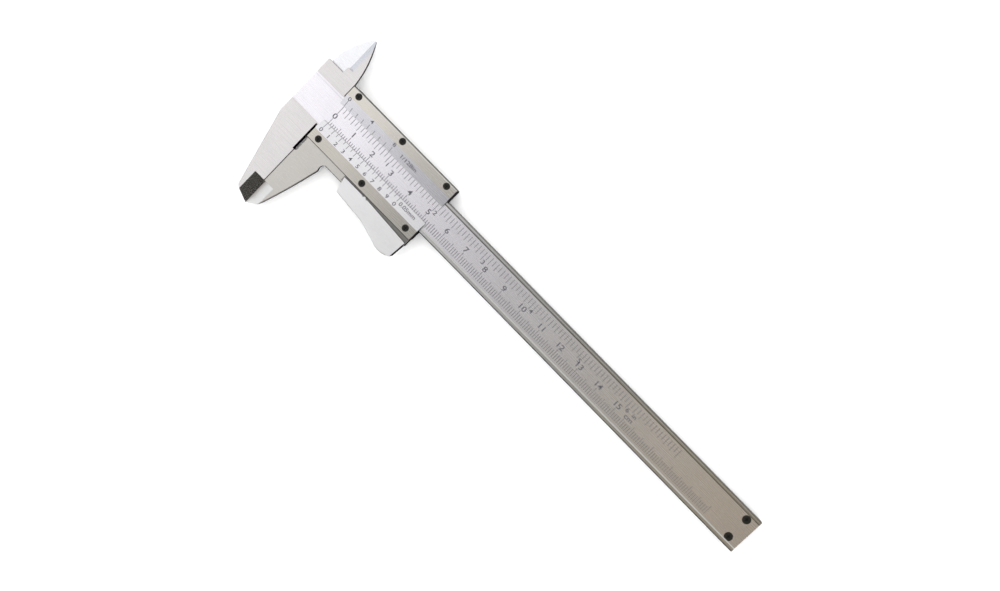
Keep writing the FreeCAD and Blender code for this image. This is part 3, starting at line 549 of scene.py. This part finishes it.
class CALIPER_OT_slider(bpy.types.Operator):
    """Finish the movable jaws, the rails, the back plate, the gib strip and the depth rod"""

    bl_idname = "caliper.slider"
    bl_label = "Slider"

    def execute(self, context):
        tints = context.scene.caliper_finishes
        # Stainless steel from a surface grinder: short fine scratches and a grey, soft sheen.
        dress("slider_jaw", metal("ground_jaw_steel", jaw_face,
                                  along=3.0, across=0.2, depth=0.004, roughness=0.3))
        # The inside jaw is lapped, so it is smoother and mirrors the light almost white.
        dress("upper_rail", metal("lapped_jaw_steel", plain_face(tints.inside_jaw),
                                  along=3.0, across=0.25, depth=0.002, roughness=0.26))
        back = metal("ground_back_steel", plain_face(tints.back),
                     along=5.0, across=0.2, depth=0.004, roughness=0.38)
        dress("back_plate", back)
        dress("depth_rod", back)
        # Rolled phosphor bronze keeps long straight roll marks and a brown tone.
        dress("gib_strip", metal("rolled_bronze", plain_face(tints.bronze),
                                 along=6.0, across=0.1, depth=0.002, roughness=0.35))
        return {"FINISHED"}


class CALIPER_OT_vernier_plates(bpy.types.Operator):
    """Finish the two front plates, whose slopes carry the verniers"""

    bl_idname = "caliper.vernier_plates"
    bl_label = "Vernier plates"

    def execute(self, context):
        tints = context.scene.caliper_finishes
        # Satin chrome plate over steel: an even, slightly warm grey with faint long streaks.
        # The slopes are brushed finer and stay paler, so that the lines read against them.
        for side, tint in (("upper", tints.upper_plate), ("lower", tints.lower_plate)):
            dress(f"{side}_vernier_plate",
                  metal(f"satin_chromed_{side}_plate", plate_face(tint),
                        along=5.0, across=0.15, depth=0.004, roughness=0.25))
        return {"FINISHED"}


class CALIPER_OT_thumb_clamp(bpy.types.Operator):
    """Finish the thumb lever, its pivot pin and the brake pin"""

    bl_idname = "caliper.thumb_clamp"
    bl_label = "Thumb clamp"

    def execute(self, context):
        tints = context.scene.caliper_finishes
        # Pressed sheet steel with bright satin plating, paler and bluer than the ground parts.
        dress("thumb_lever", metal("satin_plated_lever", lever_face,
                                   along=1.5, across=0.3, depth=0.003, roughness=0.44))
        # Drawn steel wire: draw marks along it and a grey half gloss.
        dress("lever_pivot_pin", metal("drawn_pin_steel", plain_face(tints.wire),
                                       along=2.0, across=0.1, depth=0.002, roughness=0.3))
        # Turned brass, with rings across its length.
        dress("brake_pin", metal("turned_brass", plain_face(tints.brass),
                                 along=4.0, across=0.15, depth=0.002, roughness=0.3))
        return {"FINISHED"}


class CALIPER_OT_lever_coil(bpy.types.Operator):
    """Wind the coil spring between the rail and the lever"""

    bl_idname = "caliper.lever_coil"
    bl_label = "Lever spring"

    def execute(self, context):
        sizes = context.scene.caliper_spring
        tall = SPRING_HIGH.y - SPRING_LOW.y
        radius = (SPRING_HIGH.x - SPRING_LOW.x - sizes.wire) / 2
        steps_a_turn = 28
        bpy.ops.object.select_all(action="DESELECT")
        bpy.ops.mesh.primitive_circle_add(vertices=10, radius=sizes.wire / 2,
                                          location=(radius, 0, 0), rotation=(math.pi / 2, 0, 0))
        coil = context.object
        bpy.ops.object.transform_apply(location=True, rotation=True, scale=True)
        winding = coil.modifiers.new("winding", "SCREW")
        winding.axis = "Z"
        winding.steps = steps_a_turn
        winding.render_steps = steps_a_turn
        winding.iterations = sizes.turns
        winding.screw_offset = (tall - sizes.wire) / sizes.turns
        winding.use_merge_vertices = False
        apply_modifiers(coil)
        bpy.ops.object.mode_set(mode="EDIT")
        bpy.ops.mesh.select_all(action="SELECT")
        bpy.ops.mesh.remove_doubles(threshold=0.01 * sizes.wire)
        bpy.ops.mesh.fill_holes(sides=0)
        bpy.ops.mesh.select_all(action="SELECT")
        bpy.ops.mesh.normals_make_consistent(inside=False)
        bpy.ops.object.mode_set(mode="OBJECT")
        bpy.ops.object.shade_smooth_by_angle(angle=math.radians(50))
        coil = joined("lever_coil", [coil])
        middle = (SPRING_LOW + SPRING_HIGH) / 2
        seat(coil, (middle.x, SPRING_HIGH.y - sizes.wire / 2, middle.z), math.pi / 2)
        # Cold-drawn spring wire, oiled: a grey half gloss with draw marks along it.
        wire = metal("drawn_spring_wire", plain_face(context.scene.caliper_finishes.wire),
                     along=0.3, across=0.1, depth=0.002, roughness=0.3)
        coil.data.materials.append(wire)
        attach(coil, "slider")
        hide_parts("lever_spring")
        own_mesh(coil)
        return {"FINISHED"}


class CALIPER_OT_screws(bpy.types.Operator):
    """Finish the plate screws, the stop screws, the rod screw and the gib screws"""

    bl_idname = "caliper.screws"
    bl_label = "Screws"

    def execute(self, context):
        band_depth = context.scene.caliper_scales.band_depth
        # Black oxide on steel: a thin matt coat that wears to dark grey on the head's flat and
        # stays black in the recess.
        finishes = {
            "plate_screw": black_oxide("black_oxide_plate_screw", PLATE_FRONT),
            "stop_screw": black_oxide("black_oxide_stop_screw", BEAM_FRONT - band_depth),
            "depth_rod_screw": black_oxide("black_oxide_rod_screw", 0.0),
            "gib_screw": black_oxide("black_oxide_set_screw", PLATE_FRONT),
        }
        for node in sorted(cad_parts):
            for family, finish in finishes.items():
                if node.startswith(family):
                    dress(node, finish)
        return {"FINISHED"}


# Engraving. A scale is drawn flat round its own zero point, with x along the scale and y
# across it, and is then seated on its face.

def ruled_lines(low, high, first, count, pitch, groups=1, group_pitch=0.0):
    """Filled grooves from low to high across the scale, in groups repeated along it."""
    sizes = bpy.context.scene.caliper_scales
    bpy.ops.object.select_all(action="DESELECT")
    bpy.ops.mesh.primitive_cube_add(size=1, location=(first, (low + high) / 2, 0))
    bar = bpy.context.object
    bar.scale = (sizes.line_width, abs(high - low), 2 * sizes.fill)
    bpy.ops.object.transform_apply(location=True, rotation=True, scale=True)
    # The groove's ends run out round, as a cutter leaves them.
    bpy.ops.object.mode_set(mode="EDIT")
    bpy.ops.mesh.select_all(action="DESELECT")
    bpy.ops.object.mode_set(mode="OBJECT")
    for edge in bar.data.edges:
        a, b = (bar.data.vertices[i].co for i in edge.vertices)
        edge.select = abs(a.z - b.z) > sizes.fill
    bpy.ops.object.mode_set(mode="EDIT")
    bpy.ops.mesh.select_mode(type="EDGE")
    bpy.ops.mesh.bevel(offset=sizes.line_width * 0.35, segments=2)
    bpy.ops.object.mode_set(mode="OBJECT")
    for number, step in ((count, pitch), (groups, group_pitch)):
        if number > 1:
            array = bar.modifiers.new("row", "ARRAY")
            array.use_relative_offset = False
            array.use_constant_offset = True
            array.constant_offset_displace = (step, 0, 0)
            array.count = number
    apply_modifiers(bar)
    return bar


def engraved(text, x, y, height, stretch=None):
    """Characters centred on a place of the scale, as high as a digit of that height."""
    sizes = bpy.context.scene.caliper_scales
    bpy.ops.object.select_all(action="DESELECT")
    bpy.ops.object.text_add(location=(0, 0, 0))
    label = bpy.context.object
    label.data.body = text
    label.data.size = height / DIGIT_SHARE
    label.data.offset = label.data.size * sizes.weight
    label.data.extrude = sizes.fill
    label.data.resolution_u = 4
    bpy.ops.object.convert(target="MESH")
    wide = stretch or sizes.stretch
    corners = [v.co for v in label.data.vertices]
    middle_x = (min(c.x for c in corners) + max(c.x for c in corners)) / 2
    label.scale = (wide, 1, 1)
    label.location = (x - wide * middle_x, y - height / 2, 0)
    bpy.ops.object.transform_apply(location=True, rotation=True, scale=True)
    return label


def finish_scale(name, parts, body, place, tilt=0.0):
    """Join a scale's lines or numbers, seat them on their face and fill them with enamel."""
    tints = bpy.context.scene.caliper_finishes
    piece = joined(name, parts)
    seat(piece, place, tilt)
    # Baked enamel wiped into the cuts: matt and dark, paler where a cut is only a hair wide.
    tint = tints.line if name.endswith("lines") else tints.number
    piece.data.materials.clear()
    piece.data.materials.append(enamel(f"baked_enamel_{name}", tint, 0.6))
    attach(piece, body)
    return piece


def band_zero():
    """Zero point of the two main scales, on the floor of the band."""
    sizes = bpy.context.scene.caliper_scales
    return at(0, 0) + Vector((sizes.zero, 0, -sizes.band_depth))


class CALIPER_OT_metric_scale(bpy.types.Operator):
    """Engrave the millimetre lines and the centimetre numbers on the beam"""

    bl_idname = "caliper.metric_scale"
    bl_label = "Metric scale"

    def execute(self, context):
        sizes = context.scene.caliper_scales
        place = band_zero()
        edge = sizes.metric_edge
        lines = [
            ruled_lines(edge, sizes.metric_short, MM, 4, MM, 40, 5 * MM),
            ruled_lines(edge, sizes.metric_middle, 5 * MM, 20, 10 * MM),
            ruled_lines(edge, sizes.metric_long, 0, 21, 10 * MM),
        ]
        finish_scale("millimetre_lines", lines, "beam", place)
        numbers = [engraved(str(i), i * 10 * MM, sizes.metric_number_line, sizes.metric_number)
                   for i in range(16)]
        unit_place, unit_row, unit_height = 156.1 * MM, -0.5 * MM, 1.8 * MM
        numbers.append(engraved("cm", unit_place, unit_row, unit_height))
        finish_scale("centimetre_numbers", numbers, "beam", place)
        return {"FINISHED"}


class CALIPER_OT_inch_scale(bpy.types.Operator):
    """Engrave the sixteenth lines and the inch numbers on the beam"""

    bl_idname = "caliper.inch_scale"
    bl_label = "Inch scale"

    def execute(self, context):
        sizes = context.scene.caliper_scales
        place = band_zero()
        edge = sizes.inch_edge
        inch = INCH * MM
        lines = [
            ruled_lines(edge, sizes.inch_short, inch / 16, 56, inch / 8),
            ruled_lines(edge, sizes.inch_middle, inch / 8, 7, inch / 8, 7, inch),
            ruled_lines(edge, sizes.inch_long, 0, 8, inch),
        ]
        finish_scale("inch_lines", lines, "beam", place)
        beside = 1.3 * MM
        row, height = sizes.inch_number_line, sizes.inch_number
        numbers = [engraved(str(i), i * inch + beside, row, height) for i in range(1, 7)]
        unit_place, unit_row, unit_height = 6 * inch + 4.8 * MM, 1.5 * MM, 1.6 * MM
        numbers.append(engraved("in", unit_place, unit_row, unit_height))
        finish_scale("inch_numbers", numbers, "beam", place)
        return {"FINISHED"}


def slope(node, edge_is_low):
    """Zero point and tilt of a vernier plate's slope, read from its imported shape."""
    low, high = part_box(node)
    near = 0.01 * MM
    corners = [v.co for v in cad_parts[node].data.vertices]
    top = [c.y for c in corners if c.z > high.z - near]
    edge_y = low.y if edge_is_low else high.y
    fold_y = min(top) if edge_is_low else max(top)
    edge_z = max(c.z for c in corners if abs(c.y - edge_y) < near)
    tilt = math.atan2(high.z - edge_z, abs(fold_y - edge_y))
    if not edge_is_low:
        tilt = -tilt
    return Vector((JAW_PLANE + bpy.context.scene.caliper_scales.zero, edge_y, edge_z)), tilt


class CALIPER_OT_inch_vernier(bpy.types.Operator):
    """Engrave the upper vernier: eight steps over fifteen sixteenths of an inch"""

    bl_idname = "caliper.inch_vernier"
    bl_label = "Inch vernier"

    def execute(self, context):
        sizes = context.scene.caliper_scales
        place, tilt = slope("upper_vernier_plate", edge_is_low=True)
        step = INCH * MM * 15 / 16 / 8
        zero_reach, plain_reach, numbered_reach = 3.0 * MM, 2.1 * MM, 2.4 * MM
        lines = [
            ruled_lines(0, zero_reach, 0, 1, step),
            ruled_lines(0, plain_reach, step, 7, step),
            ruled_lines(0, numbered_reach, 4 * step, 2, 4 * step),
        ]
        finish_scale("inch_vernier_lines", lines, "slider", place, tilt)
        row = 3.85 * MM
        numbers = [engraved(text, i * step, row, sizes.vernier_number)
                   for i, text in ((0, "0"), (4, "4"), (8, "8"))]
        legend_place, legend_row, wide = 32.4 * MM, 2.6 * MM, 1.25
        numbers.append(engraved("1/128in", legend_place, legend_row, sizes.legend, wide))
        finish_scale("inch_vernier_numbers", numbers, "slider", place, tilt)
        return {"FINISHED"}


class CALIPER_OT_metric_vernier(bpy.types.Operator):
    """Engrave the lower vernier: twenty steps over thirty-nine millimetres"""

    bl_idname = "caliper.metric_vernier"
    bl_label = "Metric vernier"

    def execute(self, context):
        sizes = context.scene.caliper_scales
        place, tilt = slope("lower_vernier_plate", edge_is_low=False)
        step = 39 * MM / 20
        zero_reach, numbered_reach, plain_reach = -2.35 * MM, -1.96 * MM, -1.34 * MM
        lines = [
            ruled_lines(zero_reach, 0, 0, 1, step),
            ruled_lines(numbered_reach, 0, 2 * step, 10, 2 * step),
            ruled_lines(plain_reach, 0, step, 10, 2 * step),
        ]
        finish_scale("metric_vernier_lines", lines, "slider", place, tilt)
        row = -3.3 * MM
        numbers = [engraved(str(i % 10), 2 * i * step, row, sizes.vernier_number)
                   for i in range(11)]
        legend_place, legend_row, wide = 44.3 * MM, -1.6 * MM, 1.12
        numbers.append(engraved("0.05mm", legend_place, legend_row, sizes.legend, wide))
        finish_scale("metric_vernier_numbers", numbers, "slider", place, tilt)
        return {"FINISHED"}


# The tent's cloth as its reflection shows it: angle from straight overhead towards the
# beam's free end, and the linear level there. The two ends of the ramp come first.
TENT_RADIUS = 3.0
TENT_STRENGTH = 1.7
TENT_LEVELS = (
    (-90, (0.40, 0.45, 0.55)),
    (90, (0.04, 0.04, 0.04)),
    (-77.5, (0.50, 0.58, 0.72)),
    (-74, (1.14, 1.18, 1.26)),
    (-62, (1.52, 1.58, 1.70)),
    (-56, (1.52, 1.58, 1.70)),
    (-48, (0.75, 0.75, 0.76)),
    (-30, (0.80, 0.80, 0.81)),
    (-25, (1.28, 1.27, 1.29)),
    (-16, (1.32, 1.31, 1.33)),
    (-13.3, (1.27, 1.27, 1.29)),
    (-11, (0.70, 0.70, 0.72)),
    (-9, (0.56, 0.56, 0.58)),
    (-7, (0.54, 0.54, 0.56)),
    (-1.3, (0.45, 0.45, 0.45)),
    (4, (0.30, 0.305, 0.27)),
    (11, (0.43, 0.38, 0.285)),
    (18, (0.48, 0.40, 0.28)),
    (26, (0.035, 0.035, 0.03)),
    (60, (0.03, 0.03, 0.03)),
)
TENT_TURN = 6.0                                 # degrees about the upright
TENT_FAR_SIDE = (1.00, 1.00, 0.97)
TENT_RIGHT_SIDE = (0.62, 0.61, 0.59)

# Edges of the tent's panels, as shares of its radius: where a change begins and ends.
FAR_RISE = (0.2, 0.5)
FAR_FALL = (0.72, 0.92)
FAR_LEFT = (-0.55, -0.4)
RIGHT_START = (0.3, 0.45)
OPENING_EDGE = (0.36, 0.5)

FLOOR_SIDE = 6.0
FLOOR_GLOW = 0.03
WORLD_SEEN, WORLD_LIGHT = 1.0, 1.45
LAMP_PLACE = (-0.5, 0.4, 1.0)
LAMP_SIDE = 0.5
LAMP_POWER = 1.0
CAMERA_PLACE = (110.40, 50.29, 425.10)          # mm from the datum
CAMERA_TURN = (-3.3507, 6.6588, 45.3209)        # degrees
CAMERA_LENS = 41.782
SENSOR_WIDTH = 36


def seen_rays(tree):
    """One for what the camera, a reflection or a refraction shows, else zero."""
    rays = add_node(tree, "ShaderNodeLightPath").outputs
    mirrored = add_node(tree, "ShaderNodeMath",
                        {0: rays["Is Camera Ray"], 1: rays["Is Glossy Ray"]},
                        operation="MAXIMUM")
    return add_node(tree, "ShaderNodeMath", {0: mirrored, 1: rays["Is Transmission Ray"]},
                    operation="MAXIMUM")


def table_paint():
    """Matt white table top that the camera sees a little brighter than its light makes it."""
    material, tree = new_material("white_table_top")
    paint = add_node(tree, "ShaderNodeBsdfDiffuse",
                     {"Color": bpy.context.scene.caliper_finishes.floor})
    level = add_node(tree, "ShaderNodeMath", {0: seen_rays(tree), 1: FLOOR_GLOW},
                     operation="MULTIPLY")
    glow = add_node(tree, "ShaderNodeEmission", {"Strength": level, "Color": (1, 1, 1, 1)})
    both = add_node(tree, "ShaderNodeAddShader", {0: paint, 1: glow})
    add_node(tree, "ShaderNodeOutputMaterial", {"Surface": both})
    return material


def tent_cloth():
    """Lit cloth, bright over the jaws and darker over the free end."""
    material, tree = new_material("light_tent_cloth")
    where = add_node(tree, "ShaderNodeTexCoord")
    turned = add_node(tree, "ShaderNodeMapping",
                      {"Vector": where.outputs["Object"],
                       "Rotation": (0, 0, math.radians(TENT_TURN))})
    across = add_node(tree, "ShaderNodeSeparateXYZ", {"Vector": turned}).outputs
    place = add_node(tree, "ShaderNodeMapRange",
                     {"Value": across["X"], "From Min": -TENT_RADIUS, "From Max": TENT_RADIUS})
    ramp = add_node(tree, "ShaderNodeValToRGB", {"Fac": place})
    stops = ramp.color_ramp.elements
    for index, (angle, level) in enumerate(TENT_LEVELS):
        position = 0.5 + math.sin(math.radians(angle)) / 2
        stop = stops[index] if index < 2 else stops.new(position)
        stop.position = position
        stop.color = (*(channel / TENT_STRENGTH for channel in level), 1)
    # The far panel hangs behind the camera, clear of the horizon and of the jaws' side.
    rise = add_node(tree, "ShaderNodeMapRange",
                    {"Value": across["Y"], "From Min": FAR_RISE[0] * TENT_RADIUS,
                     "From Max": FAR_RISE[1] * TENT_RADIUS})
    panel = add_node(tree, "ShaderNodeMapRange",
                     {"Value": across["Y"], "From Min": FAR_FALL[0] * TENT_RADIUS,
                      "From Max": FAR_FALL[1] * TENT_RADIUS, "To Min": rise, "To Max": 0.0})
    far = add_node(tree, "ShaderNodeMapRange",
                   {"Value": across["X"], "From Min": FAR_LEFT[0] * TENT_RADIUS,
                    "From Max": FAR_LEFT[1] * TENT_RADIUS, "To Min": 0.0, "To Max": panel})
    far_side = (*(channel / TENT_STRENGTH for channel in TENT_FAR_SIDE), 1)
    cloth = add_node(tree, "ShaderNodeMix",
                     {"Factor": far, "A": ramp.outputs["Color"], "B": far_side},
                     data_type="RGBA")
    # The dark opening is in the middle of the right side, with grey cloth on both sides of it.
    aside = add_node(tree, "ShaderNodeMath", {0: across["Y"]}, operation="ABSOLUTE")
    beside = add_node(tree, "ShaderNodeMapRange",
                      {"Value": aside, "From Min": OPENING_EDGE[0] * TENT_RADIUS,
                       "From Max": OPENING_EDGE[1] * TENT_RADIUS})
    right = add_node(tree, "ShaderNodeMapRange",
                     {"Value": across["X"], "From Min": RIGHT_START[0] * TENT_RADIUS,
                      "From Max": RIGHT_START[1] * TENT_RADIUS, "To Min": 0.0,
                      "To Max": beside})
    right_side = (*(channel / TENT_STRENGTH for channel in TENT_RIGHT_SIDE), 1)
    cloth = add_node(tree, "ShaderNodeMix", {"Factor": right, "A": cloth, "B": right_side},
                     data_type="RGBA")
    glow = add_node(tree, "ShaderNodeEmission", {"Color": cloth, "Strength": TENT_STRENGTH})
    add_node(tree, "ShaderNodeOutputMaterial", {"Surface": glow})
    return material


class CALIPER_OT_stage(bpy.types.Operator):
    """Set up the table, the light and the camera"""

    bl_idname = "caliper.stage"
    bl_label = "Stage"

    def execute(self, context):
        bpy.ops.object.select_all(action="DESELECT")
        bpy.ops.mesh.primitive_plane_add(size=FLOOR_SIDE, location=(0, 0, 0))
        floor = context.object
        floor.name = "table_top"
        floor.data.materials.append(table_paint())

        world = bpy.data.worlds.new("studio")
        context.scene.world = world
        world.use_nodes = True
        tree = world.node_tree
        tree.nodes.clear()
        level = add_node(tree, "ShaderNodeMapRange",
                         {"Value": seen_rays(tree), "To Min": WORLD_LIGHT,
                          "To Max": WORLD_SEEN})
        sky = add_node(tree, "ShaderNodeBackground", {"Strength": level, "Color": (1, 1, 1, 1)})
        add_node(tree, "ShaderNodeOutputWorld", {"Surface": sky})

        bpy.ops.object.select_all(action="DESELECT")
        bpy.ops.mesh.primitive_uv_sphere_add(segments=48, ring_count=24, radius=TENT_RADIUS)
        tent = context.object
        tent.name = "light_tent"
        tent.visible_camera = False
        tent.visible_diffuse = False
        tent.visible_shadow = False
        tent.data.materials.append(tent_cloth())

        bpy.ops.object.light_add(type="AREA", location=LAMP_PLACE)
        lamp = context.object
        lamp.name = "soft_box"
        lamp.data.shape = "RECTANGLE"
        lamp.data.size = LAMP_SIDE
        lamp.data.size_y = LAMP_SIDE
        lamp.data.energy = LAMP_POWER
        lamp.visible_glossy = False
        lamp.rotation_euler = (-lamp.location).to_track_quat("-Z", "Y").to_euler()

        bpy.ops.object.camera_add(location=at(*CAMERA_PLACE))
        camera = context.object
        camera.name = "photo_camera"
        camera.rotation_euler = [math.radians(angle) for angle in CAMERA_TURN]
        camera.data.lens = CAMERA_LENS
        camera.data.sensor_width = SENSOR_WIDTH
        camera.data.clip_start = 0.01
        context.scene.camera = camera
        context.scene.view_settings.view_transform = "Standard"
        return {"FINISHED"}


class CALIPER_PT_panel(bpy.types.Panel):
    """Steps that finish the caliper, in order"""

    bl_label = "Caliper"
    bl_idname = "CALIPER_PT_panel"
    bl_space_type = "VIEW_3D"
    bl_region_type = "UI"
    bl_category = "Caliper"

    def draw(self, context):
        scene = context.scene
        for step in STEPS:
            self.layout.operator(step.bl_idname)
        for group in (scene.caliper_scales, scene.caliper_spring, scene.caliper_finishes):
            for name in group.__annotations__:
                self.layout.prop(group, name)


STEPS = (
    CALIPER_OT_beam,
    CALIPER_OT_slider,
    CALIPER_OT_vernier_plates,
    CALIPER_OT_thumb_clamp,
    CALIPER_OT_lever_coil,
    CALIPER_OT_screws,
    CALIPER_OT_metric_scale,
    CALIPER_OT_inch_scale,
    CALIPER_OT_inch_vernier,
    CALIPER_OT_metric_vernier,
    CALIPER_OT_stage,
)

CLASSES = (CaliperScales, CaliperSpring, CaliperFinishes, *STEPS, CALIPER_PT_panel)


def register():
    """Register the add-on's classes and its settings."""
    for one in CLASSES:
        bpy.utils.register_class(one)
    bpy.types.Scene.caliper_scales = bpy.props.PointerProperty(type=CaliperScales)
    bpy.types.Scene.caliper_spring = bpy.props.PointerProperty(type=CaliperSpring)
    bpy.types.Scene.caliper_finishes = bpy.props.PointerProperty(type=CaliperFinishes)


def unregister():
    """Remove the settings and the classes."""
    del bpy.types.Scene.caliper_finishes
    del bpy.types.Scene.caliper_spring
    del bpy.types.Scene.caliper_scales
    for one in reversed(CLASSES):
        bpy.utils.unregister_class(one)


def main():
    """Run every step in order."""
    register()
    for step in STEPS:
        family, name = step.bl_idname.split(".")
        getattr(getattr(bpy.ops, family), name)()


if __name__ == "__main__":
    main()
